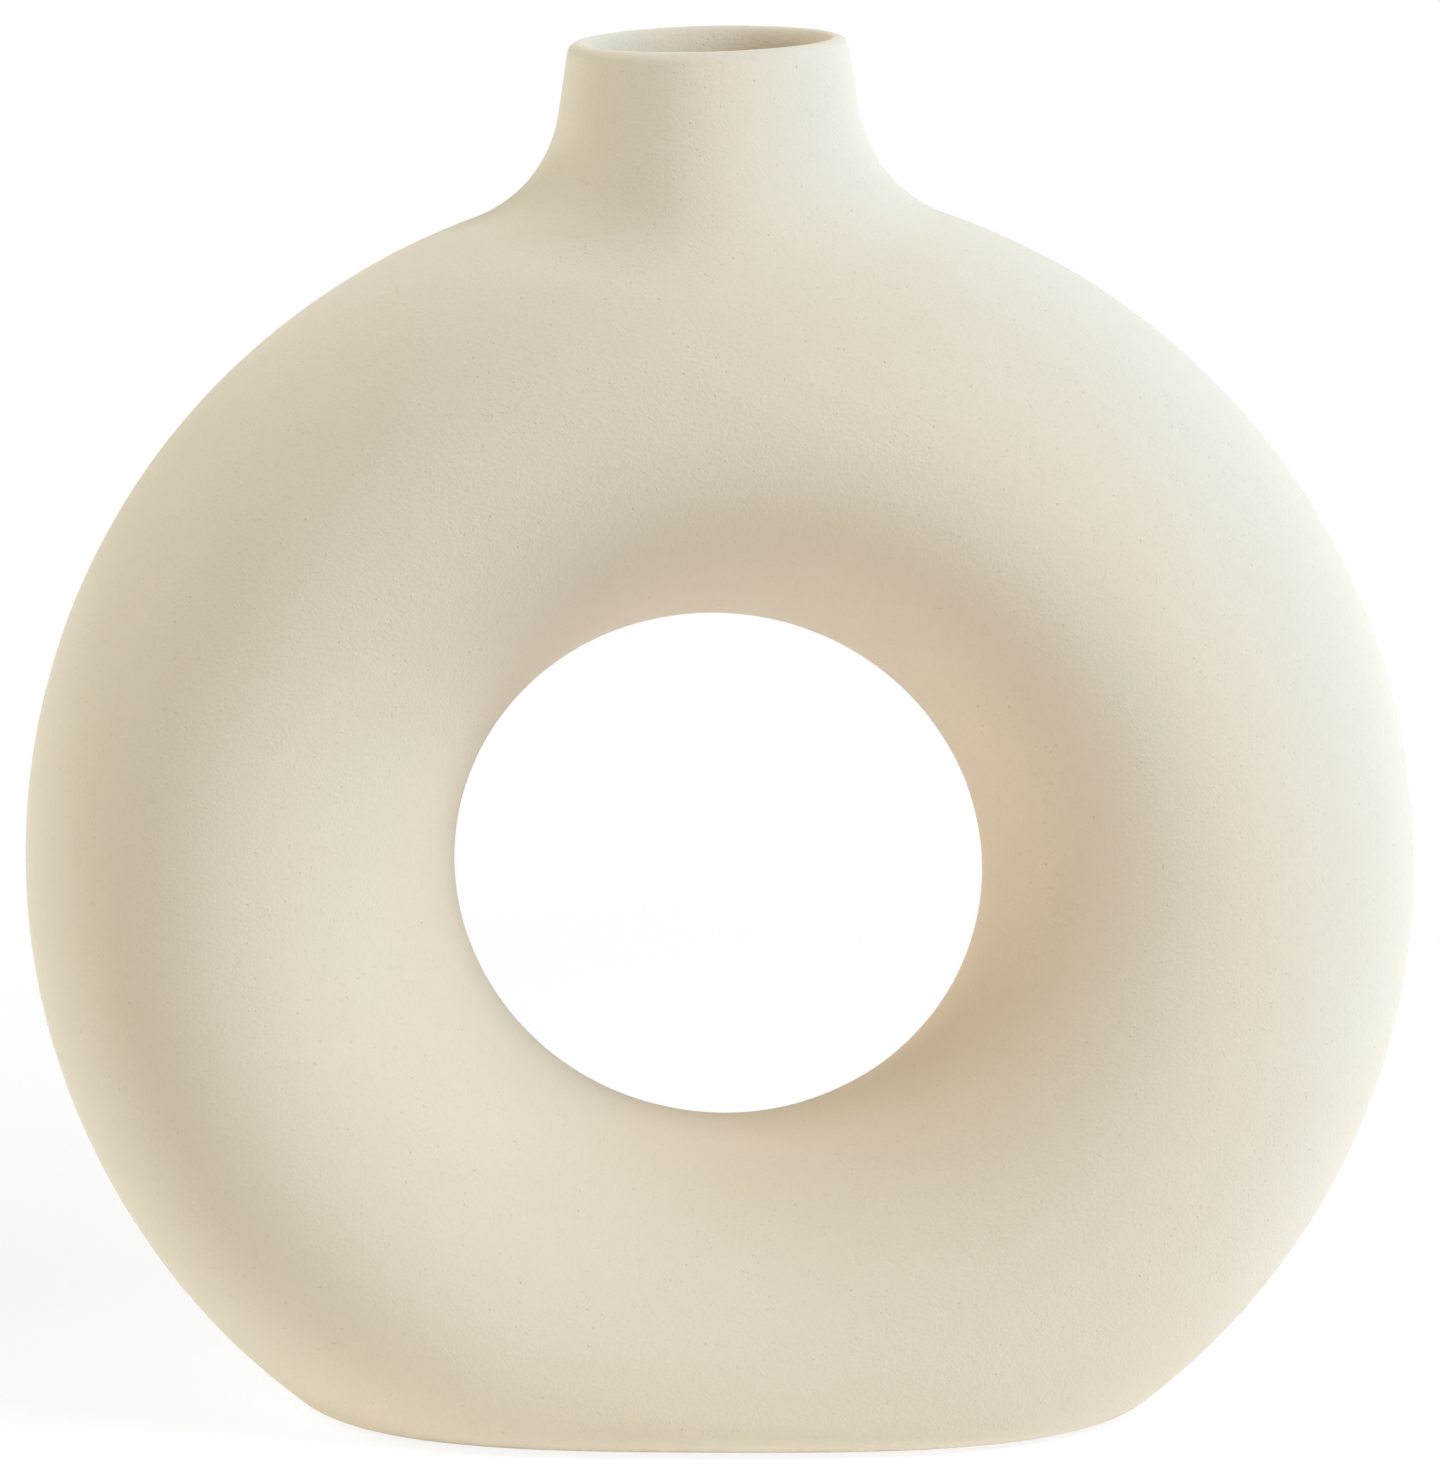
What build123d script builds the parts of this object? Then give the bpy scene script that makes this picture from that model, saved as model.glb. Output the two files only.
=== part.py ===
from build123d import *
import os
from math import cos, radians, sin, tan

# Donut vase: a hollow stoneware ring that stands on a flat foot, with a short tapered neck on top.
# It is built as a potter builds one: two moulded half rings, a collar for the neck and a slab for
# the foot, luted together with slip, and a coat of glaze poured inside.
# Millimetres and degrees. +Z is up, X runs across the ring and Y from the front to the back.
# The origin is the middle of the foot, on the surface that the vase stands on.

# Ring
ring_outer_diameter = 220.0
tube_width = 68.0
tube_depth = 76.0
foot_cut_depth = 23.0
foot_edge_radius = 8.0

# Neck
neck_rise = 21.4
rim_diameter = 43.0
neck_taper = 9.0
neck_root_radius = 21.3
lip_outer_radius = 1.9
lip_inner_radius = 1.1

# Walls and layers
wall = 3.8
foot_slab_thickness = 5.0
slip_thickness = 0.5
glaze_thickness = 0.4

# Places of the joints and edges
neck_joint_drop = 17.0
glaze_line_drop = 10.0
foot_recess_depth = 0.8
foot_rim_width = 9.0

# Sizes that follow from those above
centreline_radius = (ring_outer_diameter - tube_width) / 2
ring_axis_height = ring_outer_diameter / 2 - foot_cut_depth
rim_height = ring_axis_height + ring_outer_diameter / 2 + neck_rise
neck_seam_top = rim_height - neck_joint_drop
neck_seam_bottom = neck_seam_top - slip_thickness
foot_seam_top = foot_slab_thickness + slip_thickness
glaze_line = rim_height - glaze_line_drop
clear = 2 * (ring_outer_diameter + rim_height)


def layer(low, high):
    """A flat block between two heights, wider than the vase."""
    return Pos(0, 0, (low + high) / 2) * Box(clear, clear, high - low)


def sheet(front, back):
    """An upright block between two depths, wider and taller than the vase."""
    return Pos(0, (front + back) / 2, 0) * Box(clear, back - front, 2 * clear)


def half_ring(inset):
    """The upper half of the plain ring, with its skin moved in by inset."""
    section = Pos(centreline_radius, 0) * Ellipse(tube_width / 2 - inset, tube_depth / 2 - inset)
    return Pos(0, 0, ring_axis_height) * revolve(section, Axis.Y, -180)


def neck(inset, lip_radius, facing, top):
    """The neck with a round lip, with its skin moved in by inset, from inside the tube up to top.

    facing is 1 for the outside of the clay, where the lip curves in, and -1 for the bore, where it flares.
    """
    lean = radians(neck_taper)
    rim_radius = rim_diameter / 2 - inset / cos(lean)
    bottom = ring_axis_height + centreline_radius
    lip_height = rim_height - lip_radius
    wall_way = facing * lip_radius
    lip_middle = rim_radius + lip_radius * tan(lean) - wall_way / cos(lean)
    root = (0, rim_radius + (rim_height - bottom) * tan(lean), bottom)
    wall_end = (0, lip_middle + wall_way * cos(lean), lip_height + wall_way * sin(lean))
    lip_end = (0, lip_middle, rim_height)
    outline = Polyline((0, 0, bottom), root, wall_end)
    outline += TangentArc(wall_end, lip_end, tangent=(0, -sin(lean), cos(lean)))
    outline += Polyline(lip_end, (0, 0, top), (0, 0, bottom))
    return revolve(make_face(outline), Axis.Z, 360)


def vase_form(inset, floor, spout):
    """The whole vase as one full form, with its skin moved in by inset, from floor to the top of spout."""
    upper = half_ring(inset) + spout
    root = upper.edges().filter_by(GeomType.BSPLINE)
    upper = fillet(root, neck_root_radius + inset)
    lower = Pos(0, 0, 2 * ring_axis_height) * mirror(half_ring(inset), Plane.XY)
    return upper + (lower & layer(floor, ring_axis_height))


def hollow_form(inset, floor):
    """The space inside the vase, with its skin moved in by inset, from floor up through the mouth."""
    return vase_form(inset, floor, neck(inset, lip_inner_radius, -1, rim_height + wall))


def fired_shell(cavity):
    """The whole clay wall, before it is cut into the pieces that it is made from."""
    outer = vase_form(0, 0, neck(0, lip_outer_radius, 1, rim_height))
    foot_edge = outer.edges().group_by(Axis.Z)[0]
    return fillet(foot_edge, foot_edge_radius) - cavity


def foot_recess(slab):
    """The shallow hollow under the slab, which leaves a level rim to stand on."""
    sole = slab.faces().filter_by(GeomType.PLANE).sort_by(Axis.Z)[0].bounding_box().size
    hollow = Ellipse(sole.X / 2 - foot_rim_width, sole.Y / 2 - foot_rim_width)
    return extrude(hollow, foot_recess_depth)


def vase_pieces():
    """Every piece of the vase in its place, by name."""
    cavity = hollow_form(wall, foot_slab_thickness)
    lining = hollow_form(wall + glaze_thickness, foot_slab_thickness + glaze_thickness)
    shell = fired_shell(cavity)
    slab = shell & layer(-clear, foot_slab_thickness)
    body = shell & layer(foot_seam_top, neck_seam_bottom)
    front_shell = body & sheet(-clear, -slip_thickness / 2)
    bands = body & sheet(-slip_thickness / 2, slip_thickness / 2)
    left_band, hole_band, right_band = bands.solids().sort_by(Axis.X)
    return {
        "front_shell": front_shell,
        "rear_shell": mirror(front_shell, Plane.XZ),
        "neck_collar": shell & layer(neck_seam_top, clear),
        "foot_slab": slab - foot_recess(slab),
        "hole_seam_slip": hole_band,
        "left_seam_slip": left_band,
        "right_seam_slip": right_band,
        "neck_seam_slip": shell & layer(neck_seam_bottom, neck_seam_top),
        "foot_seam_slip": shell & layer(foot_slab_thickness, foot_seam_top),
        "inner_glaze": (cavity - lining) & layer(0, glaze_line),
    }


os.makedirs("parts", exist_ok=True)
for name, piece in vase_pieces().items():
    export_step(piece, f"parts/{name}.step")
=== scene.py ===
import logging
import math
from collections.abc import Callable, Sequence
from dataclasses import dataclass, field
from enum import Enum
from functools import partial
from typing import Any

import bmesh
import bpy
import numpy as np
from mathutils import Matrix, Vector, noise


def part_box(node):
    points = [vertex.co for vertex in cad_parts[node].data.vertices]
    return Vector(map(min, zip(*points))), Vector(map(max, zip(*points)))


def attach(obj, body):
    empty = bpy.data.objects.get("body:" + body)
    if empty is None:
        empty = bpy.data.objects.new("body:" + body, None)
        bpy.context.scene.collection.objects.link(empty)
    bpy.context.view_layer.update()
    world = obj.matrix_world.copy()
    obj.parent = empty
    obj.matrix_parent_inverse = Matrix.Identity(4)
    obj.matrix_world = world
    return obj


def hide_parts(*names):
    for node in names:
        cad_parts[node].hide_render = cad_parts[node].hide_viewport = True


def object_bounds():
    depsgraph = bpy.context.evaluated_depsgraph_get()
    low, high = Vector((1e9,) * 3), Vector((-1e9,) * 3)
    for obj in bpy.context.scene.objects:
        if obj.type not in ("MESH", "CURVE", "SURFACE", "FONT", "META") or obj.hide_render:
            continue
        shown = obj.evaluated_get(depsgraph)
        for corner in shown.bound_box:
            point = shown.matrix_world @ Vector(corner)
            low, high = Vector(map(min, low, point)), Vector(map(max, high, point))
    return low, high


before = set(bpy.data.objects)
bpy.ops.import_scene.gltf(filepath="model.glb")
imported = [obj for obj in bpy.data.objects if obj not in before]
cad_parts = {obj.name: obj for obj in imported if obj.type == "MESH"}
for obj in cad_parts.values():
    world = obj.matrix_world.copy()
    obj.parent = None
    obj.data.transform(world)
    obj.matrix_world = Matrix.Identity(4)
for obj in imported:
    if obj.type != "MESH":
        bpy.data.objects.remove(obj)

CAD_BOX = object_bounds()
MM = 0.001
FULL_TURN = 2 * math.pi
UP = np.array((0.0, 0.0, 1.0))
DOWN = -UP

Array = np.ndarray
Key = str | int
Source = bpy.types.Node | bpy.types.NodeSocket
Adder = Callable[[str, dict[Key, Any], dict[Key, Source]], bpy.types.Node]
log = logging.getLogger("donut_vase")


class Side(Enum):
    """The two skins of the clay wall, with the way each one faces."""

    OUTSIDE = 1
    INSIDE = -1


class Band(Enum):
    """The three bands of slip between the halves."""

    HOLE = "hole"
    LEFT = "left"
    RIGHT = "right"


def steps(count: int) -> Array:
    """Even shares of a way from above 0 up to 1."""
    return np.arange(1, count + 1) / count


def smooth_step(low: float, high: float, value: Array) -> Array:
    """A soft climb from 0 at low to 1 at high."""
    share = np.clip((value - low) / (high - low), 0.0, 1.0)
    return share * share * (3.0 - 2.0 * share)


def straight(start: Array, end: Array, shares: Array) -> Array:
    """Rows of points on the straight lines from one row of points to another.

    Args:
        start: the row that the lines leave from, one point per column.
        end: the row that they reach.
        shares: how far along the lines each new row lies.

    Returns:
        The new rows, as rows by columns by 3.
    """
    return start + shares[:, None, None] * (end - start)


def arc(centre: Array, start: Array, end: Array, radius: float, shares: Array) -> Array:
    """Rows of points on round arcs, one arc per column.

    Args:
        centre: the arcs' centres.
        start: unit directions from the centres to the arcs' first points.
        end: unit directions from the centres to the arcs' last points.
        radius: the arcs' radius in metres.
        shares: how far along the arcs each new row lies.

    Returns:
        The new rows, as rows by columns by 3.
    """
    angle = np.arccos(np.clip((start * end).sum(-1), -1.0, 1.0))[:, None]
    share = shares[:, None, None]
    way = (np.sin((1.0 - share) * angle) * start + np.sin(share * angle) * end) / np.sin(angle)
    return centre + radius * way


def first_share(clear: Callable[[Array], Array], count: int, rounds: int = 40) -> Array:
    """How far out from the middle of a patch a rolling ball first sits clear, for each column.

    Args:
        clear: says for one share per column whether the ball sits clear there.
        count: the number of columns.
        rounds: how often the range is halved.

    Returns:
        One share from 0 to 1 per column.
    """
    low = np.zeros(count)
    high = np.ones(count)
    for _ in range(rounds):
        middle = (low + high) / 2
        sits_clear = clear(middle)
        high = np.where(sits_clear, middle, high)
        low = np.where(sits_clear, low, middle)
    return high


def linear_colour(code: str) -> tuple[float, float, float, float]:
    """Turns an sRGB hex colour to the linear values that shaders and lamps take.

    Args:
        code: the colour, as a hash and six hex digits.

    Returns:
        Red, green, blue and a full alpha.
    """
    def linear(share: float) -> float:
        """One channel, by the curve of the sRGB standard."""
        return share / 12.92 if share <= 0.04045 else ((share + 0.055) / 1.055) ** 2.4

    red, green, blue = (linear(channel / 255) for channel in bytes.fromhex(code[1:]))
    return red, green, blue, 1.0


def direction(azimuth: float, elevation: float) -> Vector:
    """The unit way from the vase to a place. Azimuth 0 is in front of it and a quarter turn is at +X."""
    level = math.cos(elevation)
    return Vector((math.sin(azimuth) * level, -math.cos(azimuth) * level, math.sin(elevation)))


def put_in_scene(name: str, data: bpy.types.ID) -> bpy.types.Object:
    """Adds an object to the scene.

    Args:
        name: the object's name.
        data: its mesh, lamp or camera.

    Returns:
        The new object.
    """
    made = bpy.data.objects.new(name, data)
    bpy.context.scene.collection.objects.link(made)
    return made


def input_of(node: bpy.types.Node, key: Key) -> bpy.types.NodeSocket:
    """Finds an input of a node.

    Args:
        node: the node.
        key: the input's number, or the name of one that is in use.

    Returns:
        The input.
    """
    if isinstance(key, int):
        return node.inputs[key]
    return next(one for one in node.inputs if one.name == key and one.enabled)


def add_node(
    tree: bpy.types.NodeTree,
    kind: str,
    settings: dict[Key, Any],
    links: dict[Key, Source],
) -> bpy.types.Node:
    """Adds a node to a tree, sets it up and links its inputs.

    Args:
        tree: the node tree of a material or the world.
        kind: the node's type name, without the ShaderNode that it starts with.
        settings: values by name, for the node's own options in small letters first, then for its inputs.
        links: what feeds each input: one output, or a node, which gives its first output in use.

    Returns:
        The new node.
    """
    node = tree.nodes.new(f"ShaderNode{kind}")
    for key, value in settings.items():
        if isinstance(key, str) and key.islower():
            setattr(node, key, value)
        else:
            input_of(node, key).default_value = value
    for key, source in links.items():
        if isinstance(source, bpy.types.Node):
            source = next(one for one in source.outputs if one.enabled)
        tree.links.new(source, input_of(node, key))
    return node


def fresh_nodes(owner: bpy.types.Material | bpy.types.World) -> Adder:
    """Clears the nodes of a material or world.

    Args:
        owner: the material or world.

    Returns:
        add_node, for the owner's own tree.
    """
    owner.use_nodes = True
    owner.node_tree.nodes.clear()
    return partial(add_node, owner.node_tree)


def seen_directly(add: Adder) -> bpy.types.Node:
    """Makes a switch that is 1 for what the camera sees, also by gloss or glass, and 0 for other light.

    Args:
        add: adds a node to the tree that gets the switch.

    Returns:
        The switch.
    """
    rays = add("LightPath", {}, {}).outputs
    larger = {"operation": "MAXIMUM"}
    gloss = add("Math", larger, {0: rays["Is Camera Ray"], 1: rays["Is Glossy Ray"]})
    return add("Math", larger, {0: gloss, 1: rays["Is Transmission Ray"]})


@dataclass(frozen=True)
class VaseForm:
    """The sizes of the fired clay form, in metres, with what the frame shows taken from the frame.

    A rounded edge of the lip is given by its width and its drop.
    """

    ring_radius: float
    tube_depth: float
    rim_height: float
    axis_height: float
    tube_width: float
    slip: float
    neck_seam: tuple[float, float]
    foot_seam: tuple[float, float]
    wall: float
    rim_radius: float = 21.5 * MM
    neck_taper: float = math.radians(9.0)
    neck_root_radius: float = 21.3 * MM
    lip_edge: tuple[float, float] = (1.9 * MM, 1.9 * MM)
    bore_edge: tuple[float, float] = (1.45 * MM, 4.0 * MM)
    foot_edge_radius: float = 8.0 * MM
    foot_rim_width: float = 9.0 * MM
    foot_recess_depth: float = 0.8 * MM
    foot_recess_slope: float = 1.6 * MM

    @classmethod
    def from_frame(cls, wall: float = 3.8 * MM) -> "VaseForm":
        """Reads the form's main sizes from the frame.

        Args:
            wall: the thickness of the clay wall.

        Returns:
            The form that fits the frame.
        """
        low, high = CAD_BOX
        hole_low, hole_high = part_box("hole_seam_slip")
        hole_radius = (hole_high.x - hole_low.x) / 2 - wall
        neck_low, neck_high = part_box("neck_seam_slip")
        foot_low, foot_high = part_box("foot_seam_slip")
        return cls(
            ring_radius=high.x,
            tube_depth=high.y - low.y,
            rim_height=high.z,
            axis_height=(hole_low.z + hole_high.z) / 2,
            tube_width=high.x - hole_radius,
            slip=hole_high.y - hole_low.y,
            neck_seam=(neck_low.z, neck_high.z),
            foot_seam=(foot_low.z, foot_high.z),
            wall=wall,
        )

    @property
    def centreline(self) -> float:
        """The radius of the ring at the middle of its tube."""
        return self.ring_radius - self.tube_width / 2


@dataclass(frozen=True)
class Skin:
    """One skin of the clay wall, laid out as a ring with a patch for the neck and a patch for the foot.

    A place on the ring is a turn round the ring, from +X towards +Z, and a roll round the tube, from its
    outside.
    """

    form: VaseForm
    side: Side
    inset: float
    floor: float
    foot_radius: float
    ring_rows: int = 10
    root_rows: int = 14
    cone_rows: int = 8
    edge_rows: int = 8

    TOP = math.pi / 2
    BOTTOM = -math.pi / 2

    def ring(self, turn: Array, roll: Array) -> tuple[Array, Array]:
        """Points of the plain ring and the directions that its skin faces there.

        Args:
            turn: angles round the ring.
            roll: angles round the tube.

        Returns:
            The points and the unit normals.
        """
        half_width = self.form.tube_width / 2 - self.inset
        half_depth = self.form.tube_depth / 2 - self.inset
        reach = self.form.centreline + half_width * np.cos(roll)
        height = self.form.axis_height + reach * np.sin(turn)
        points = np.stack([reach * np.cos(turn), half_depth * np.sin(roll), height], -1)
        outward = np.cos(roll) / half_width
        sideward = np.sin(roll) / half_depth
        size = np.hypot(outward, sideward)
        outward, sideward = outward / size, sideward / size
        normals = np.stack([outward * np.cos(turn), sideward, outward * np.sin(turn)], -1)
        return points, normals

    def neck_radius(self, height: Array) -> Array:
        """Works out the radius of the neck's skin.

        Args:
            height: heights above the floor.

        Returns:
            The radius at each height.
        """
        taper = self.form.neck_taper
        rim = self.form.rim_radius - self.inset / math.cos(taper)
        return rim + (self.form.rim_height - height) * math.tan(taper)

    def neck_rows(self, reach: Array) -> Array:
        """Rows of points from the ring up through the neck's round root to the top of the lip.

        Args:
            reach: for each column, the turn and roll from the middle of the neck's patch to its edge.

        Returns:
            The rows, as rows by columns by 3.
        """
        form = self.form
        taper = form.neck_taper
        root_radius = form.neck_root_radius + self.inset

        def ball(share: Array) -> tuple[Array, Array]:
            """The middle of a ball that rolls on the ring's outside, and the ring's normal under it."""
            points, normals = self.ring(self.TOP + share * reach[:, 0], share * reach[:, 1])
            return points + root_radius * normals, normals

        def clear(share: Array) -> Array:
            """Says whether the ball is clear of the neck.

            Args:
                share: how far out the ball lies, for each column.

            Returns:
                True where it is clear.
            """
            middle = ball(share)[0]
            gap = np.hypot(middle[:, 0], middle[:, 1]) - self.neck_radius(middle[:, 2])
            return gap * math.cos(taper) >= root_radius

        share = first_share(clear, len(reach))
        shares = 1.0 + steps(self.ring_rows)[:, None] * (share - 1.0)
        on_ring = self.ring(self.TOP + shares * reach[:, 0], shares * reach[:, 1])[0]
        centre, normal = ball(share)
        heading = centre[:, :2] / np.linalg.norm(centre[:, :2], axis=1, keepdims=True)
        away = np.column_stack([heading * math.cos(taper), np.full(len(reach), math.sin(taper))])
        root = arc(centre, -normal, -away, root_radius, steps(self.root_rows))

        facing = self.side.value
        edge_width, edge_drop = form.lip_edge if self.side is Side.OUTSIDE else form.bore_edge
        edge_size = np.array((edge_width, edge_width, edge_drop))
        lip_height = form.rim_height - edge_drop
        lip_reach = self.neck_radius(lip_height) - facing * edge_width / math.cos(taper)
        lip_centre = np.column_stack([heading * lip_reach, np.full(len(reach), lip_height)])
        cone = straight(root[-1], lip_centre + facing * away * edge_size, steps(self.cone_rows))
        upward = np.broadcast_to(UP, away.shape)
        lip = lip_centre + edge_size * arc(np.zeros(3), facing * away, upward, 1.0, steps(self.edge_rows))
        return np.concatenate([on_ring, root, cone, lip])

    def foot_rows(self, reach: Array) -> Array:
        """Rows of points from the ring down over the foot's rounded edge to the level sole.

        Args:
            reach: for each column, the turn and roll from the middle of the foot's patch to its edge.

        Returns:
            The rows, as rows by columns by 3.
        """
        def ball(share: Array) -> tuple[Array, Array]:
            """The middle of a ball that rolls on the ring's inside, and the ring's normal over it."""
            points, normals = self.ring(self.BOTTOM + share * reach[:, 0], share * reach[:, 1])
            return points - self.foot_radius * normals, normals

        def clear(share: Array) -> Array:
            """Whether the ball is clear of the sole."""
            return ball(share)[0][:, 2] >= self.floor + self.foot_radius

        share = first_share(clear, len(reach))
        shares = 1.0 + steps(self.ring_rows)[:, None] * (share - 1.0)
        on_ring = self.ring(self.BOTTOM + shares * reach[:, 0], shares * reach[:, 1])[0]
        centre, normal = ball(share)
        downward = np.broadcast_to(DOWN, normal.shape)
        edge = arc(centre, normal, downward, self.foot_radius, steps(self.edge_rows))
        return np.concatenate([on_ring, edge])

    def sole_rows(self, outline: Array, rim_rows: int = 3, slope_rows: int = 6, field_rows: int = 8) -> Array:
        """Rows of points from the edge of the sole to its middle, with the shallow hollow on the outside.

        Args:
            outline: the edge of the level sole.
            rim_rows: rows across the level rim.
            slope_rows: rows down the soft slope into the hollow.
            field_rows: rows across the hollow.

        Returns:
            The rows, as rows by columns by 3.
        """
        form = self.form
        depth = form.foot_recess_depth if self.side is Side.OUTSIDE else 0.0
        half = np.abs(outline[:, :2]).max(axis=0)
        angle = np.arctan2(outline[:, 1] / half[1], outline[:, 0] / half[0])
        round_way = np.column_stack([np.cos(angle), np.sin(angle), np.zeros(len(angle))])

        def loop(inset: float, rise: float) -> Array:
            """An oval inside the sole, inset from its edge and raised above it."""
            return round_way * np.append(half - inset, 0.0) + UP * (self.floor + rise)

        def slope_loop(share: float) -> Array:
            """An oval on the soft slope, a share of the way from the rim to the hollow."""
            rise = depth * (1 - math.cos(math.pi * share)) / 2
            return loop(form.foot_rim_width + share * form.foot_recess_slope, rise)

        inner = form.foot_rim_width + form.foot_recess_slope
        rim = straight(outline, loop(form.foot_rim_width, 0.0), steps(rim_rows))
        slope = [slope_loop(share) for share in steps(slope_rows)]
        middle = np.broadcast_to(UP * (self.floor + depth), outline.shape)
        hollow = straight(loop(inner, depth), middle, steps(field_rows)[:-1])
        return np.concatenate([rim, slope, hollow])


@dataclass
class Net:
    """Points and faces of a mesh while it is laid out."""

    points: list[Array] = field(default_factory=list)
    faces: list[list[int]] = field(default_factory=list)
    count: int = 0

    def add(self, points: Array) -> Array:
        """Adds points.

        Args:
            points: the points, in any layout by 3.

        Returns:
            Their numbers, in the same layout.
        """
        numbers = self.count + np.arange(points[..., 0].size).reshape(points.shape[:-1])
        self.points.append(points.reshape(-1, 3))
        self.count += numbers.size
        return numbers

    def skirt(self, rows: Array) -> None:
        """Joins rows of points by quads, closed round each row.

        Args:
            rows: the numbers of the points, as rows by columns.
        """
        here, there = rows[:-1], rows[1:]
        quads = np.stack([here, np.roll(here, -1, 1), np.roll(there, -1, 1), there], -1)
        self.faces.extend(quads.reshape(-1, 4).tolist())


@dataclass(frozen=True)
class HandMade:
    """How far the fired form strays from the true one, as clay shaped and rubbed down by hand does."""

    wave: float = 45.0 * MM
    wave_height: float = 0.16 * MM
    rub: float = 11.0 * MM
    rub_height: float = 0.035 * MM
    still_below: float = 2.0 * MM
    free_above: float = 14.0 * MM
    rim_slope: float = math.tan(math.radians(0.7))
    rim_bend: float = 28.0 * MM
    seed: int = 3

    def shift(self, points: Array, rim_height: float) -> Array:
        """Moves points as the maker's hand did, the same in every run. The sole stays level.

        Args:
            points: the points of the true form.
            rim_height: the height of the rim, near which the neck leans.

        Returns:
            The moved points.
        """
        noise.seed_set(self.seed)
        stray = np.array([self.stray(Vector(point)) for point in points])
        held = smooth_step(self.still_below, self.free_above, points[:, 2])
        moved = points + stray * held[:, None]
        lean = smooth_step(rim_height - self.rim_bend, rim_height, points[:, 2])
        moved[:, 2] += lean * self.rim_slope * points[:, 0]
        return moved

    def stray(self, point: Vector) -> Vector:
        """The small shift of one point."""
        wide = noise.noise_vector(point / self.wave) * self.wave_height
        return wide + noise.noise_vector(point / self.rub) * self.rub_height


@dataclass(frozen=True)
class Cut:
    """A flat cut through the wall. What lies on the side that it faces is taken away."""

    point: tuple[float, float, float]
    facing: tuple[float, float, float]

    @classmethod
    def above(cls, height: float) -> "Cut":
        """Takes away what is above a height."""
        return cls((0.0, 0.0, height), (0.0, 0.0, 1.0))

    @classmethod
    def below(cls, height: float) -> "Cut":
        """Takes away what is below a height."""
        return cls((0.0, 0.0, height), (0.0, 0.0, -1.0))

    @classmethod
    def before(cls, depth: float) -> "Cut":
        """Takes away what is in front of a depth."""
        return cls((0.0, depth, 0.0), (0.0, -1.0, 0.0))

    @classmethod
    def behind(cls, depth: float) -> "Cut":
        """Takes away what is behind a depth."""
        return cls((0.0, depth, 0.0), (0.0, 1.0, 0.0))


@dataclass(frozen=True)
class Cutting:
    """How one piece is cut from the wall.

    solid says that it is cut from the form without its hollow. Where the cuts leave several pieces, keep says
    for a point whether it belongs to this one.
    """

    cuts: tuple[Cut, ...]
    solid: bool = False
    keep: Callable[[Vector], bool] | None = None


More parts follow.
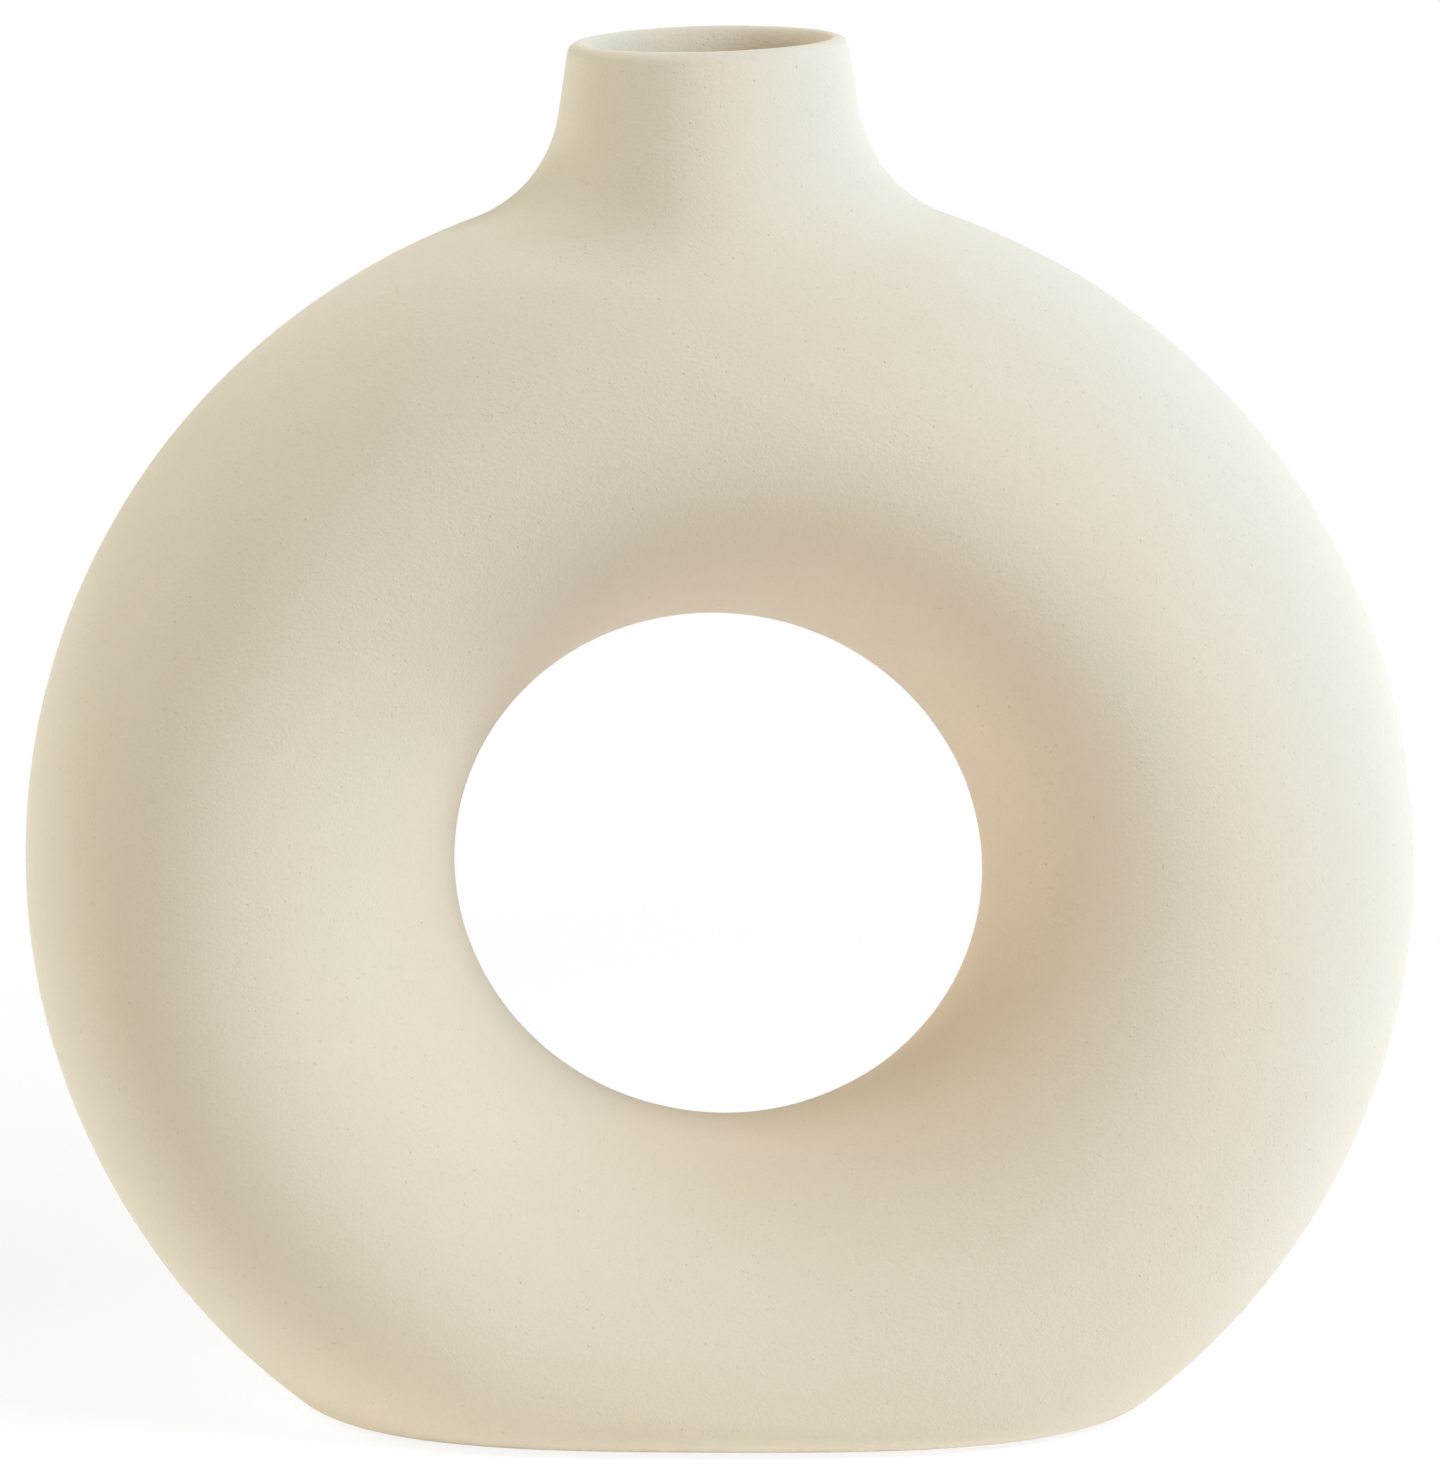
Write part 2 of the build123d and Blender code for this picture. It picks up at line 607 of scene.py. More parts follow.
@dataclass
class ClayWall:
    """The whole clay wall as one closed mesh, and the pieces cut from it.

    Every piece keeps the smooth normals of the whole wall, so that the joints don't show on the outside,
    where the maker rubbed them level.
    """

    form: VaseForm
    hand: HandMade
    turn_cells: int = 288
    roll_cells: int = 96
    neck_patch: tuple[int, int] = (20, 17)
    foot_patch: tuple[int, int] = (37, 24)
    # The hollow reaches down past the foot's joint, so that the cut there leaves an open loop.
    inner_floor: float = 3.0 * MM
    inner_foot_radius: float = 1.0 * MM
    hollow: bmesh.types.BMesh = field(init=False)
    full: bmesh.types.BMesh = field(init=False)

    NORMAL = "skin_normal"
    CAP = "cap"

    def __post_init__(self) -> None:
        """Lays out the hollow wall, and the full form for the slab, which has no hollow."""
        outer = Skin(self.form, Side.OUTSIDE, 0.0, 0.0, self.form.foot_edge_radius)
        inner = Skin(self.form, Side.INSIDE, self.form.wall, self.inner_floor, self.inner_foot_radius)
        self.hollow = self.lay([outer, inner])
        self.full = self.lay([outer])

    def patch(self, turn_middle: int, half: tuple[int, int]) -> tuple[Array, Array]:
        """The edge of a patch of the ring's grid, as the rows and columns of its points and their reach.

        Args:
            turn_middle: the number of the grid line in the middle of the patch.
            half: the patch's half size in cells, round the ring and round the tube.

        Returns:
            The grid numbers of the edge's points, and the turn and roll from the patch's middle to each one.
        """
        across, along = half
        turns = np.arange(-across, across)
        rolls = np.arange(-along, along)
        turn = np.concatenate([turns, np.full(2 * along, across), -turns, np.full(2 * along, -across)])
        roll = np.concatenate([np.full(2 * across, -along), rolls, np.full(2 * across, along), -rolls])
        numbers = np.stack([(turn_middle + turn) % self.turn_cells, roll % self.roll_cells], -1)
        reach = np.stack([turn * FULL_TURN / self.turn_cells, roll * FULL_TURN / self.roll_cells], -1)
        return numbers, reach

    def lay(self, skins: Sequence[Skin]) -> bmesh.types.BMesh:
        """Lays out the skins as one mesh, joined at the lip.

        Args:
            skins: the outside, alone or with the inside.

        Returns:
            The mesh, with the normals of its points kept in a layer of their own.
        """
        net = Net()
        neck_middle = self.turn_cells // 4
        foot_middle = 3 * self.turn_cells // 4
        neck_edge, neck_reach = self.patch(neck_middle, self.neck_patch)
        foot_edge, foot_reach = self.patch(foot_middle, self.foot_patch)
        neck_rows = []
        for skin in skins:
            turn = np.arange(self.turn_cells)[:, None] * FULL_TURN / self.turn_cells
            roll = np.arange(self.roll_cells)[None, :] * FULL_TURN / self.roll_cells
            grid = net.add(skin.ring(*np.broadcast_arrays(turn, roll))[0])
            self.ring_faces(net, grid, neck_middle, foot_middle)
            neck = np.vstack([grid[tuple(neck_edge.T)][None], net.add(skin.neck_rows(neck_reach))])
            neck_rows.append(neck)
            foot_points = skin.foot_rows(foot_reach)
            sole_points = skin.sole_rows(foot_points[-1])
            foot = net.add(np.concatenate([foot_points, sole_points]))
            net.skirt(np.vstack([grid[tuple(foot_edge.T)][None], foot]))
            net.faces.append(foot[-1].tolist())
        net.skirt(np.vstack([neck_rows[0], *(rows[::-1] for rows in neck_rows[1:])]))
        return self.closed_mesh(net)

    def ring_faces(self, net: Net, grid: Array, neck_middle: int, foot_middle: int) -> None:
        """Adds the ring's faces, without those in the two patches.

        Args:
            net: the mesh that gets the faces.
            grid: the numbers of the ring's points.
            neck_middle: the grid line in the middle of the neck's patch.
            foot_middle: the grid line in the middle of the foot's patch.
        """
        keep = np.ones(grid.shape, bool)
        for middle, (across, along) in ((neck_middle, self.neck_patch), (foot_middle, self.foot_patch)):
            turns = np.arange(middle - across, middle + across) % self.turn_cells
            rolls = np.arange(-along, along) % self.roll_cells
            keep[np.ix_(turns, rolls)] = False
        after = np.roll(grid, -1, 0)
        quads = np.stack([grid, after, np.roll(after, -1, 1), np.roll(grid, -1, 1)], -1)
        net.faces.extend(quads[keep].tolist())

    def closed_mesh(self, net: Net) -> bmesh.types.BMesh:
        """Turns the laid out points and faces into a mesh with its normals kept.

        Args:
            net: the points and faces.

        Returns:
            The mesh, in metres, in the shared frame.
        """
        points = self.hand.shift(np.concatenate(net.points), self.form.rim_height)
        mesh = bpy.data.meshes.new("clay_wall")
        mesh.from_pydata(points, [], net.faces)
        wall = bmesh.new()
        wall.from_mesh(mesh)
        bpy.data.meshes.remove(mesh)
        bmesh.ops.delete(wall, geom=[vert for vert in wall.verts if not vert.link_faces], context="VERTS")
        bmesh.ops.recalc_face_normals(wall, faces=wall.faces)
        wall.normal_update()
        kept = wall.verts.layers.float_vector.new(self.NORMAL)
        wall.faces.layers.int.new(self.CAP)
        for vert in wall.verts:
            vert[kept] = vert.normal
        return wall

    def piece(self, name: str, cutting: Cutting) -> bpy.types.Object:
        """Cuts one piece out of the wall and closes it with flat faces.

        Args:
            name: the piece's name.
            cutting: how it is cut.

        Returns:
            The piece as an object of the scene.
        """
        clay = (self.full if cutting.solid else self.hollow).copy()
        capped = clay.faces.layers.int[self.CAP]
        for cut in cutting.cuts:
            parts = [*clay.verts, *clay.edges, *clay.faces]
            made = bmesh.ops.bisect_plane(
                clay, geom=parts, plane_co=cut.point, plane_no=cut.facing, clear_outer=True
            )
            rim = [part for part in made["geom_cut"] if isinstance(part, bmesh.types.BMEdge)]
            cap = bmesh.ops.triangle_fill(clay, edges=rim, normal=cut.facing, use_beauty=True)
            for part in cap["geom"]:
                if isinstance(part, bmesh.types.BMFace):
                    part[capped] = 1
        if cutting.keep:
            others = [face for face in clay.faces if not cutting.keep(face.calc_center_median())]
            bmesh.ops.delete(clay, geom=others, context="FACES")
        bmesh.ops.recalc_face_normals(clay, faces=clay.faces)
        mesh = bpy.data.meshes.new(name)
        clay.to_mesh(mesh)
        clay.free()
        self.smooth(mesh)
        return put_in_scene(name, mesh)

    def smooth(self, mesh: bpy.types.Mesh) -> None:
        """Gives a piece the whole wall's smooth normals on its skin and flat ones on its cut faces.

        Args:
            mesh: the piece's mesh, with the two layers that the cutting kept.
        """
        skin = np.empty(len(mesh.vertices) * 3, np.float32)
        mesh.attributes[self.NORMAL].data.foreach_get("vector", skin)
        cap = np.empty(len(mesh.polygons), np.int32)
        mesh.attributes[self.CAP].data.foreach_get("value", cap)
        flat = np.empty(len(mesh.polygons) * 3, np.float32)
        mesh.polygons.foreach_get("normal", flat)
        corners = np.empty(len(mesh.polygons), np.int32)
        mesh.polygons.foreach_get("loop_total", corners)
        vertex = np.empty(len(mesh.loops), np.int32)
        mesh.loops.foreach_get("vertex_index", vertex)
        face = np.repeat(np.arange(len(mesh.polygons)), corners)
        on_cut = (cap[face] == 1)[:, None]
        normals = np.where(on_cut, flat.reshape(-1, 3)[face], skin.reshape(-1, 3)[vertex])
        for layer in (self.NORMAL, self.CAP):
            mesh.attributes.remove(mesh.attributes[layer])
        mesh.shade_smooth()
        mesh.normals_split_custom_set(normals.tolist())

    def free(self) -> None:
        """Lets go of the two whole forms."""
        self.hollow.free()
        self.full.free()


@dataclass(frozen=True)
class Stoneware:
    """Unglazed white stoneware, cast from slip, fired and rubbed down with fine sandpaper.

    That leaves a dry cream surface without gloss. The fine sand in the clay gives a soft grain that shows
    where light grazes it, coarse grains stick out pale or have come out and left pits, whose darkness is
    painted shade, the rubbing leaves faint hollows, and the fire leaves faint clouds. A warm glow of
    painted bounce light lies on the clay round one side of the hole.
    """

    name: str = "unglazed_white_stoneware"
    ior: float = 1.5
    smoothest: float = 0.74
    roughest: float = 0.92
    diffuse_roughness: float = 0.6
    warm: str = "#E4D7C2"
    cool: str = "#E7DFCE"
    cloud: float = 40.0 * MM
    cloud_detail: float = 6.0
    cloud_roughness: float = 0.65
    # The warm painted bounce light round one side of the hole, the same at every depth.
    painted_bounce: str = "#EED3B8"
    painted_bounce_share: float = 0.4
    painted_bounce_middle: tuple[float, float, float] = (12.0 * MM, 0.0, 99.0 * MM)
    painted_bounce_full: float = 34.0 * MM
    painted_bounce_end: float = 62.0 * MM
    # The real sand is about 0.2 mm wide, too fine for the render, so it is drawn nearly three times as wide.
    sand: float = 0.55 * MM
    sand_detail: float = 2.0
    sand_share: float = 0.12
    sand_height: float = 0.09 * MM
    dark_sand: str = "#CBBCA2"
    pale_sand: str = "#F3EDE1"
    # A coarse grain is 0.1 to 0.3 mm wide, and the largest are drawn nearly twice as wide, so that they show.
    grain_spacing: float = 0.8 * MM
    grain_radius: float = 0.28 * MM
    grain_height: float = 0.12 * MM
    grain_share: float = 0.22
    # Pits are painted this dark colour, as painted shade inside them.
    painted_pit_shade: str = "#AD9B7F"
    rub: float = 4.5 * MM
    rub_detail: float = 2.0
    rub_height: float = 0.06 * MM
    worn: str = "#D3C6B0"
    wear_height: float = 0.6 * MM
    wear_share: float = 0.55

    ACROSS_AND_UP = (1.0, 0.0, 1.0)

    def material(self) -> bpy.types.Material:
        """Makes the finish.

        Returns:
            The material, drawn in the shared frame so that it runs on from piece to piece.
        """
        material = bpy.data.materials.new(self.name)
        add = fresh_nodes(material)
        place = add("TexCoord", {}, {}).outputs["Object"]
        sand = add("TexNoise", {"Scale": 1 / self.sand, "Detail": self.sand_detail}, {"Vector": place})
        speck, paleness = self.coarse_grains(add, place)
        clay = self.fired_tone_and_painted_bounce(add, place)
        clay = self.grained_tone(add, clay, sand, speck, paleness)
        clay = self.worn_tone(add, clay, place)
        roughness = add("MapRange", {"To Min": self.roughest, "To Max": self.smoothest}, {"Value": sand})
        relief = self.relief(add, place, sand, speck, paleness)
        shader = add(
            "BsdfPrincipled",
            {"IOR": self.ior, "Diffuse Roughness": self.diffuse_roughness},
            {"Base Color": clay, "Roughness": roughness, "Normal": relief},
        )
        add("OutputMaterial", {}, {"Surface": shader})
        return material

    def coarse_grains(self, add: Adder, place: Source) -> tuple[Source, Source]:
        """Strews coarse grains of many sizes.

        Args:
            add: adds a node to the material.
            place: the place in the shared frame.

        Returns:
            How much of a grain is at the place, and how pale and proud that grain is.
        """
        grains = add("TexVoronoi", {"Scale": 1 / self.grain_spacing}, {"Vector": place})
        chance = add("SeparateColor", {}, {"Color": grains.outputs["Color"]}).outputs
        widest = self.grain_radius / self.grain_spacing
        reach = add("Math", {"operation": "MULTIPLY", 1: widest}, {0: chance["Red"]})
        speck = add(
            "MapRange",
            {"To Min": 1.0, "To Max": 0.0},
            {"Value": grains.outputs["Distance"], "From Max": reach},
        )
        return speck, chance["Green"]

    def fired_tone_and_painted_bounce(self, add: Adder, place: Source) -> Source:
        """Colours the clay with the clouds that the fire left, and paints warm bounce light round one side of
        the hole, at every depth alike.

        Args:
            add: adds a node to the material.
            place: the place in the shared frame.

        Returns:
            The clay's colour, with the painted bounce light.
        """
        clouds = add(
            "TexNoise",
            {"Scale": 1 / self.cloud, "Detail": self.cloud_detail, "Roughness": self.cloud_roughness},
            {"Vector": place},
        )
        body = add(
            "Mix",
            {"data_type": "RGBA", "A": linear_colour(self.warm), "B": linear_colour(self.cool)},
            {"Factor": clouds},
        )
        # Painted bounce light: warmer clay round one side of the hole, placed by the distance across and up
        # only.
        upright = add("VectorMath", {"operation": "MULTIPLY", 1: self.ACROSS_AND_UP}, {0: place})
        from_painted_bounce = add("VectorMath", {"operation": "DISTANCE", 1: self.painted_bounce_middle}, {0: upright})
        painted_bounce = add(
            "MapRange",
            {
                "interpolation_type": "SMOOTHSTEP",
                "From Min": self.painted_bounce_full,
                "From Max": self.painted_bounce_end,
                "To Min": self.painted_bounce_share,
                "To Max": 0.0,
            },
            {"Value": from_painted_bounce},
        )
        painted_bounce_mix = {"data_type": "RGBA", "B": linear_colour(self.painted_bounce)}
        return add("Mix", painted_bounce_mix, {"Factor": painted_bounce, "A": body})

    def grained_tone(self, add: Adder, clay: Source, sand: Source, speck: Source, paleness: Source) -> Source:
        """Mixes fine sand into the clay and shows the coarse grains, from pits with painted shade to pale
        grains.

        Args:
            add: adds a node to the material.
            clay: the clay's colour.
            sand: the pattern of the sand.
            speck: how much of a coarse grain is at the place.
            paleness: how pale that grain is; where it is low, the grain is a pit with painted shade.

        Returns:
            The clay's colour with its grain.
        """
        sand_tone = add(
            "Mix",
            {"data_type": "RGBA", "A": linear_colour(self.dark_sand), "B": linear_colour(self.pale_sand)},
            {"Factor": sand},
        )
        sanded = add("Mix", {"data_type": "RGBA", "Factor": self.sand_share}, {"A": clay, "B": sand_tone})
        # Painted shade in the pits, where paleness is low, and the real pale colour of proud grains.
        grain_tone_and_pit_shade = add(
            "Mix",
            {"data_type": "RGBA", "A": linear_colour(self.painted_pit_shade), "B": linear_colour(self.pale_sand)},
            {"Factor": paleness},
        )
        share = add("Math", {"operation": "MULTIPLY", 1: self.grain_share}, {0: speck})
        return add("Mix", {"data_type": "RGBA"}, {"Factor": share, "A": sanded, "B": grain_tone_and_pit_shade})

    def worn_tone(self, add: Adder, clay: Source, place: Source) -> Source:
        """Darkens the rim that the vase stands on.

        Args:
            add: adds a node to the material.
            clay: the clay's colour.
            place: the place in the shared frame.

        Returns:
            The clay's colour with its wear.
        """
        height = add("SeparateXYZ", {}, {"Vector": place}).outputs["Z"]
        wear = add(
            "MapRange",
            {"From Max": self.wear_height, "To Min": self.wear_share, "To Max": 0.0},
            {"Value": height},
        )
        darkened = {"data_type": "RGBA", "B": linear_colour(self.worn)}
        return add("Mix", darkened, {"Factor": wear, "A": clay})

    def relief(self, add: Adder, place: Source, sand: Source, speck: Source, paleness: Source) -> Source:
        """Raises the sand and the pale grains, and sinks the pits and the rubbed hollows.

        Args:
            add: adds a node to the material.
            place: the place in the shared frame.
            sand: the pattern of the sand.
            speck: how much of a coarse grain is at the place.
            paleness: how proud that grain is.

        Returns:
            The way that the surface faces.
        """
        rub = add("TexNoise", {"Scale": 1 / self.rub, "Detail": self.rub_detail}, {"Vector": place})
        hollows = add("Bump", {"Distance": self.rub_height}, {"Height": rub})
        sandy = add("Bump", {"Distance": self.sand_height}, {"Height": sand, "Normal": hollows})
        proud = add("MapRange", {"To Min": -1.0, "To Max": 1.0}, {"Value": paleness})
        rise = add("Math", {"operation": "MULTIPLY"}, {0: speck, 1: proud})
        return add("Bump", {"Distance": self.grain_height}, {"Height": rise, "Normal": sandy})


@dataclass(frozen=True)
class CreamGlaze:
    """Glossy cream glaze, poured through the vase and fired.

    It is a little paler than the bare clay, with a wet shine, slow ripples where it ran down, and a warmer
    tone where it lies thick. The dry clay under it scatters the light.
    """

    name: str = "glossy_cream_glaze"
    ior: float = 1.52
    glossiest: float = 0.12
    dullest: float = 0.26
    diffuse_roughness: float = 0.6
    thin: str = "#EDE5D4"
    thick: str = "#E2D6BC"
    run: float = 9.0 * MM
    run_detail: float = 2.0
    ripple_height: float = 0.25 * MM
    pinhole: float = 0.8 * MM
    pinhole_detail: float = 1.0

    def material(self) -> bpy.types.Material:
        """Makes the finish.

        Returns:
            The material, drawn in the shared frame.
        """
        material = bpy.data.materials.new(self.name)
        add = fresh_nodes(material)
        place = add("TexCoord", {}, {}).outputs["Object"]
        runs = add("TexNoise", {"Scale": 1 / self.run, "Detail": self.run_detail}, {"Vector": place})
        pinholes = add(
            "TexNoise",
            {"Scale": 1 / self.pinhole, "Detail": self.pinhole_detail},
            {"Vector": place},
        )
        colour = add(
            "Mix",
            {"data_type": "RGBA", "A": linear_colour(self.thin), "B": linear_colour(self.thick)},
            {"Factor": runs},
        )
        roughness = add("MapRange", {"To Min": self.glossiest, "To Max": self.dullest}, {"Value": pinholes})
        ripple = add("Bump", {"Distance": self.ripple_height}, {"Height": runs})
        shader = add(
            "BsdfPrincipled",
            {"IOR": self.ior, "Diffuse Roughness": self.diffuse_roughness},
            {"Base Color": colour, "Roughness": roughness, "Normal": ripple},
        )
        add("OutputMaterial", {}, {"Surface": shader})
        return material


@dataclass
class ClayPart:
    """A sub-assembly whose pieces are cut from the clay wall and stand for nodes of the frame."""

    form: VaseForm
    slot: str = "stoneware"
    pieces: list[bpy.types.Object] = field(default_factory=list)

    def cuttings(self) -> dict[str, Cutting]:
        """How each piece is cut, by the node that it stands for."""
        raise NotImplementedError

    def build(self, wall: ClayWall) -> None:
        """Cuts the pieces and puts them in their nodes' places.

        Args:
            wall: the whole clay wall.
        """
        for node, cutting in self.cuttings().items():
            piece = wall.piece(f"{node}_fired", cutting)
            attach(piece, "root")
            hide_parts(node)
            self.pieces.append(piece)

    def dress(self, finish: bpy.types.Material) -> None:
        """Gives every piece its finish."""
        for piece in self.pieces:
            piece.data.materials.append(finish)


@dataclass
class RingHalves(ClayPart):
    """The two moulded halves of the hollow ring."""

    def cuttings(self) -> dict[str, Cutting]:
        """The halves, between the foot's joint and the neck's joint."""
        body = (Cut.below(self.form.foot_seam[1]), Cut.above(self.form.neck_seam[0]))
        return {
            "front_shell": Cutting((*body, Cut.behind(-self.form.slip / 2))),
            "rear_shell": Cutting((*body, Cut.before(self.form.slip / 2))),
        }


@dataclass
class NeckCollar(ClayPart):
    """The tapered collar with the lip."""

    def cuttings(self) -> dict[str, Cutting]:
        """All that lies above the neck's joint."""
        return {"neck_collar": Cutting((Cut.below(self.form.neck_seam[1]),))}


@dataclass
class FootSlab(ClayPart):
    """The slab that closes the ring at the bottom."""

    def cuttings(self) -> dict[str, Cutting]:
        """All that lies below the foot's joint, without the hollow."""
        return {"foot_slab": Cutting((Cut.above(self.form.foot_seam[0]),), solid=True)}


@dataclass
class SlipSeams(ClayPart):
    """The thin seams of slip that hold the clay pieces together, rubbed level with them."""

    slot: str = "slip"

    def cuttings(self) -> dict[str, Cutting]:
        """The three bands between the halves, and the seams under the collar and on the slab.

        Returns:
            How each seam is cut, by the node that it stands for.
        """
        form = self.form
        half_slip = form.slip / 2
        foot_low, foot_high = form.foot_seam
        neck_low, neck_high = form.neck_seam
        bands = (Cut.below(foot_high), Cut.above(neck_low), Cut.before(-half_slip), Cut.behind(half_slip))
        seams = {f"{band.value}_seam_slip": Cutting(bands, keep=partial(self.in_band, band)) for band in Band}
        seams["neck_seam_slip"] = Cutting((Cut.below(neck_low), Cut.above(neck_high)))
        seams["foot_seam_slip"] = Cutting((Cut.below(foot_low), Cut.above(foot_high)))
        return seams

    def in_band(self, band: Band, point: Vector) -> bool:
        """Whether a point between the halves lies in a band.

        Args:
            band: the band asked about.
            point: a point of one of the bands.

        Returns:
            True where it lies in that band.
        """
        if math.hypot(point.x, point.z - self.form.axis_height) < self.form.centreline:
            return band is Band.HOLE
        return band is (Band.LEFT if point.x < 0 else Band.RIGHT)


@dataclass
class InnerGlaze:
    """The coat of glaze inside the ring, which keeps its own node of the frame."""

    node: str = "inner_glaze"

    def dress(self, finish: bpy.types.Material) -> bpy.types.Object:
        """Gives the coat its finish.

        Args:
            finish: the glaze.

        Returns:
            The node's object.
        """
        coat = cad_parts[self.node]
        coat.data.materials.clear()
        coat.data.materials.append(finish)
        return coat


@dataclass(frozen=True)
class SoftLamp:
    """A large round studio lamp that faces the vase, from an angle round it and an angle above the floor.

    Its angles are in degrees, its power is in watts, and its size and distance are in metres.
    """

    name: str
    azimuth: float
    elevation: float
    power: float
    colour: str
    size: float
    distance: float = 1.2

    def build(self, target: Vector) -> bpy.types.Object:
        """Hangs the lamp.

        Args:
            target: the point that it faces.

        Returns:
            The lamp.
        """
        data = bpy.data.lights.new(self.name, "AREA")
        data.shape = "DISK"
        data.size = self.size
        data.energy = self.power
        data.color = linear_colour(self.colour)[:3]
        lamp = put_in_scene(self.name, data)
        back = direction(math.radians(self.azimuth), math.radians(self.elevation))
        lamp.location = target + back * self.distance
        lamp.rotation_euler = (-back).to_track_quat("-Z", "Y").to_euler()
        lamp.visible_camera = False
        return lamp


@dataclass(frozen=True)
class WhitePaper:
    """White studio paper: a dead matt sheet that takes the vase's shadow and is plain white further out.

    A painted pool of light, which the paper gives off itself to the right of the vase, throws light back up
    under the ring. Places on the paper are in metres from the middle of the foot.
    """

    name: str = "white_studio_paper"
    white: str = "#F8F6F3"
    roughness: float = 0.95
    glow: float = 1.0
    near_lift: float = 0.8
    near: float = 0.16
    far: float = 0.42
    painted_pool: float = 0.3
    painted_pool_middle: tuple[float, float, float] = (0.2, 0.0, 0.0)
    painted_pool_full: float = 0.2
    painted_pool_end: float = 0.4
    # The paper's real fibres are about 0.1 mm wide, too fine for the render, so a wider, soft tooth is drawn.
    tooth: float = 0.9 * MM
    tooth_height: float = 0.02 * MM

    def material(self) -> bpy.types.Material:
        """Makes the finish.

        Returns:
            The material, in which the camera, gloss and glass see mostly plain white.
        """
        material = bpy.data.materials.new(self.name)
        add = fresh_nodes(material)
        place = add("TexCoord", {}, {}).outputs["Object"]
        tooth = add("TexNoise", {"Scale": 1 / self.tooth}, {"Vector": place})
        bump = add("Bump", {"Distance": self.tooth_height}, {"Height": tooth})
        # The paper itself glows in a painted pool of light to the right of the vase, which lights the ring
        # from below.
        from_painted_pool = add("VectorMath", {"operation": "DISTANCE", 1: self.painted_pool_middle}, {0: place})
        painted_pool = add(
            "MapRange",
            {"From Min": self.painted_pool_full, "From Max": self.painted_pool_end, "To Min": self.painted_pool, "To Max": 0.0},
            {"Value": from_painted_pool},
        )
        sheet = add(
            "BsdfPrincipled",
            {
                "Base Color": linear_colour(self.white),
                "Roughness": self.roughness,
                "Emission Color": linear_colour(self.white),
            },
            {"Normal": bump, "Emission Strength": painted_pool},
        )
        glow = add("Emission", {"Strength": self.glow}, {})
        from_middle = add("VectorMath", {"operation": "LENGTH"}, {0: place})
        lift = add(
            "MapRange",
            {"From Min": self.near, "From Max": self.far, "To Min": self.near_lift},
            {"Value": from_middle},
        )
        lifted = add("Math", {"operation": "MULTIPLY"}, {0: seen_directly(add), 1: lift})
        shader = add("MixShader", {}, {0: lifted, 1: sheet, 2: glow})
        add("OutputMaterial", {}, {"Surface": shader})
        return material


@dataclass(frozen=True)
class Camera:
    """The camera at the photograph's viewing angle, aimed near the middle of the ring.

    Its focal length is in pixels of the photograph, whose height its sensor covers. The sensor is in
    millimetres, and the distance and the nearest and farthest that it sees are in metres.
    """

    distance: float = 1.0
    nearest: float = 0.1
    farthest: float = 100.0
    elevation: float = math.radians(13.34)
    yaw: float = math.radians(2.853)
    pan: float = math.radians(0.036)
    tilt: float = math.radians(1.156)
    roll: float = math.radians(0.687)
    focal_pixels: float = 6298.0
    image_height: float = 1480.0
    sensor: float = 36.0

    def build(self, target: Vector) -> bpy.types.Object:
        """Sets up the camera and makes it the scene's own.

        Args:
            target: the middle of the ring.

        Returns:
            The camera.
        """
        data = bpy.data.cameras.new("camera")
        data.sensor_width = self.sensor
        data.lens = self.focal_pixels * self.sensor / self.image_height
        data.clip_start = self.nearest
        data.clip_end = self.farthest
        camera = put_in_scene("camera", data)
        back = direction(self.yaw, self.elevation)
        upright = Vector(UP)
        level = upright.cross(back).normalized()
        ahead = -back + math.tan(self.pan) * level + math.tan(self.tilt) * back.cross(level)
        ahead.normalize()
        right = ahead.cross(upright).normalized()
        up = right.cross(ahead)
        leaning_right = right * math.cos(self.roll) - up * math.sin(self.roll)
        leaning_up = right * math.sin(self.roll) + up * math.cos(self.roll)
        axes = Matrix((leaning_right, leaning_up, -ahead)).transposed()
        camera.matrix_world = Matrix.Translation(target + back * self.distance) @ axes.to_4x4()
        bpy.context.scene.camera = camera
        return camera


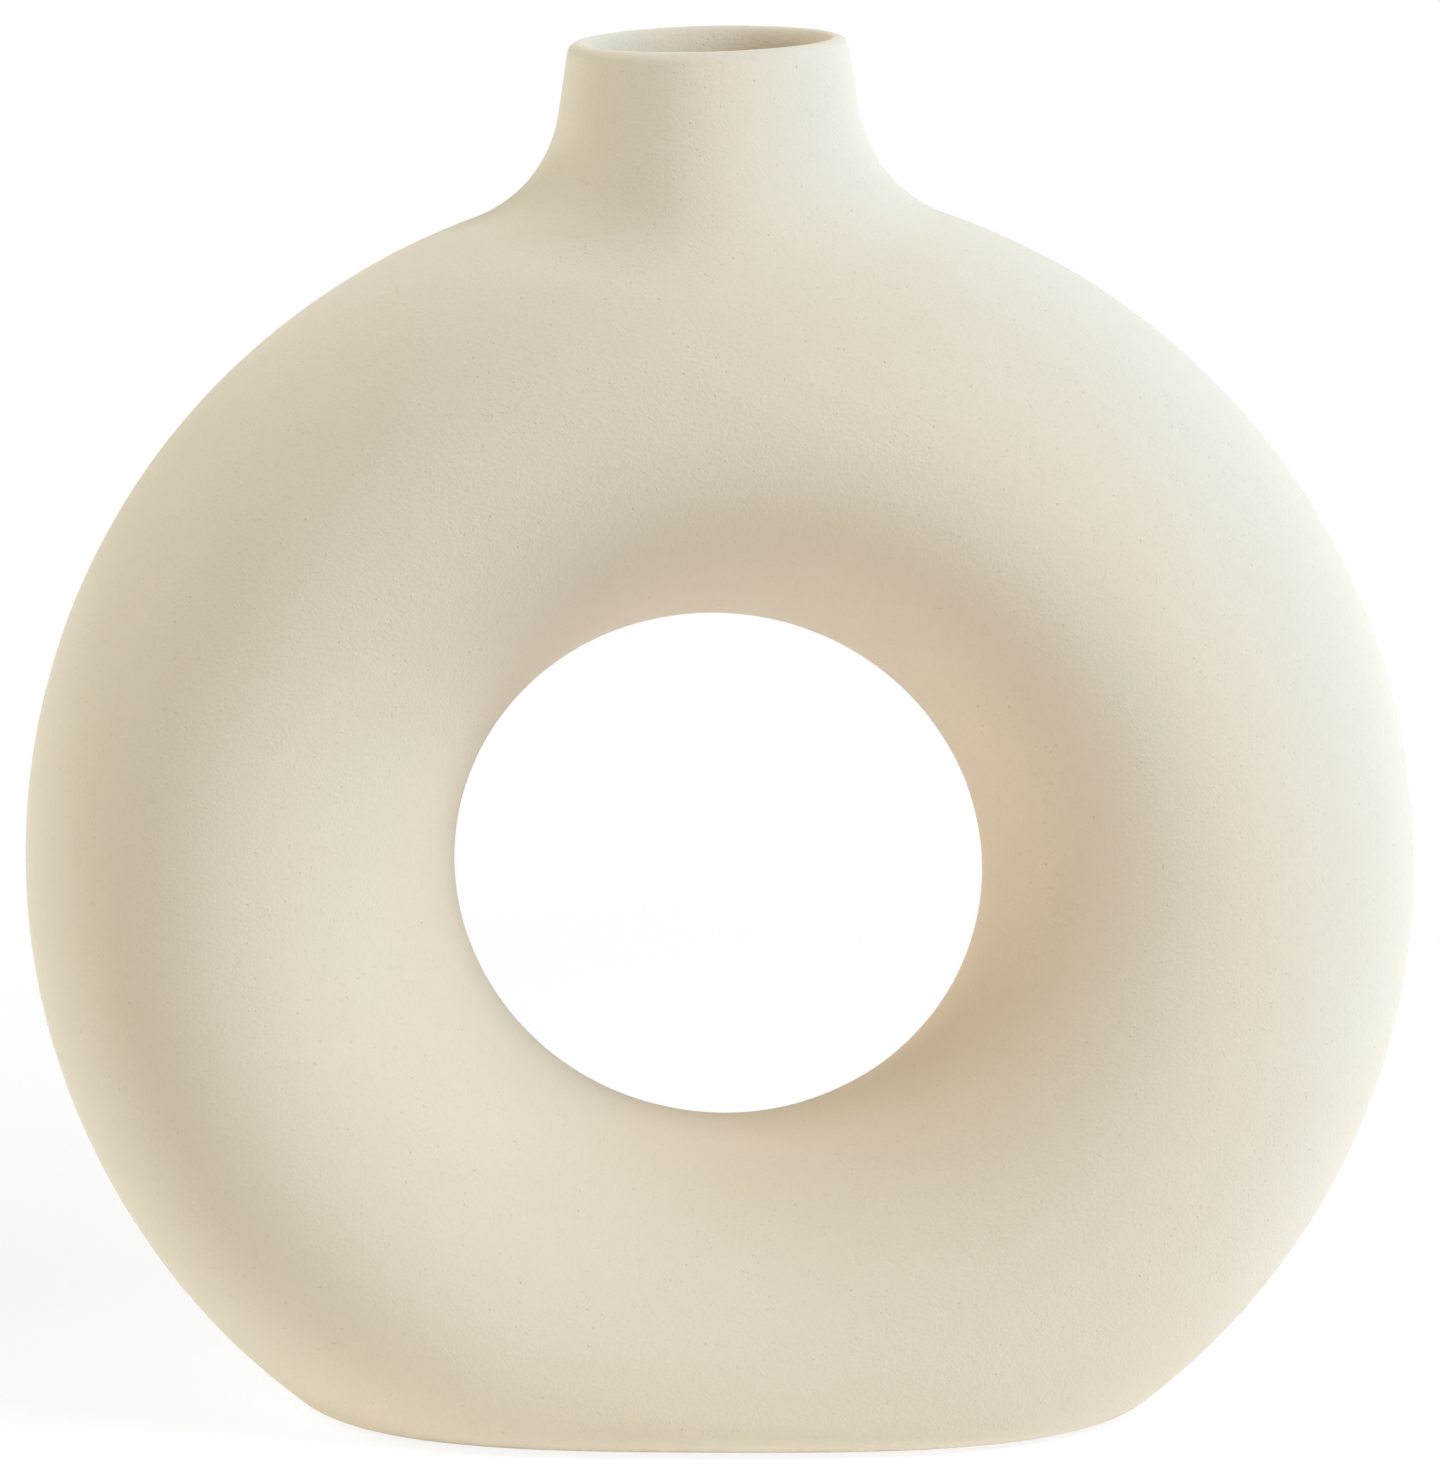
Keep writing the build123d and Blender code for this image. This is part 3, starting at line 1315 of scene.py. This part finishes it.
@dataclass
class Studio:
    """A sheet of white paper, soft lamps all round and a white surround."""

    floor_size: float = 12.0
    white: str = "#FFFFFF"
    ambient: float = 0.05
    lamps: tuple[SoftLamp, ...] = (
        SoftLamp("key_right_front", azimuth=55.0, elevation=45.0, power=9.2, colour="#E5F1FF", size=0.35),
        SoftLamp("key_right", azimuth=78.0, elevation=33.0, power=5.5, colour="#DBECFF", size=0.35),
        SoftLamp("rim_left", azimuth=250.0, elevation=16.0, power=8.0, colour="#F0FBFF", size=0.4),
        SoftLamp("side_left", azimuth=276.0, elevation=16.0, power=0.7, colour="#FDFFFA", size=0.4),
        SoftLamp("rim_right", azimuth=140.0, elevation=22.0, power=2.0, colour="#FFFBF8", size=0.5),
        SoftLamp("fill_left_front", azimuth=315.0, elevation=35.0, power=4.2, colour="#FFEECE", size=0.8),
    )

    def build(self, target: Vector) -> None:
        """Sets up the floor, the lamps, the surround and the camera.

        Args:
            target: the middle of the ring, which the lamps and the camera face.
        """
        self.floor()
        self.surround()
        for lamp in self.lamps:
            lamp.build(target)
        Camera().build(target)
        bpy.context.scene.view_settings.view_transform = "Standard"

    def floor(self) -> None:
        """Lays the paper under the vase."""
        half = self.floor_size / 2
        mesh = bpy.data.meshes.new("paper_floor")
        corners = [(-half, -half, 0.0), (half, -half, 0.0), (half, half, 0.0), (-half, half, 0.0)]
        mesh.from_pydata(corners, [], [(0, 1, 2, 3)])
        mesh.materials.append(WhitePaper().material())
        paper = put_in_scene("paper_floor", mesh)

    def surround(self) -> None:
        """Makes the surround, which shows as white and lights the vase only a little."""
        world = bpy.data.worlds.new("white_surround")
        add = fresh_nodes(world)
        strength = add("MapRange", {"To Min": self.ambient}, {"Value": seen_directly(add)})
        white = add("Background", {"Color": linear_colour(self.white)}, {"Strength": strength})
        add("OutputWorld", {}, {"Surface": white})
        bpy.context.scene.world = world


def main() -> None:
    """Builds the vase round the frame, dresses it and lights it."""
    logging.basicConfig(level=logging.INFO, format="%(message)s")
    form = VaseForm.from_frame()
    wall = ClayWall(form, HandMade())
    stoneware = Stoneware().material()
    for part in (RingHalves(form), NeckCollar(form), FootSlab(form), SlipSeams(form)):
        part.build(wall)
        part.dress(stoneware)
        for piece in part.pieces:
            log.info("%s: %d faces", piece.name, len(piece.data.polygons))
    wall.free()
    coat = InnerGlaze().dress(CreamGlaze().material())
    log.info("%s: node of the frame, %d faces", coat.name, len(coat.data.polygons))
    Studio().build(Vector((0.0, 0.0, form.axis_height)))


if __name__ == "__main__":
    main()
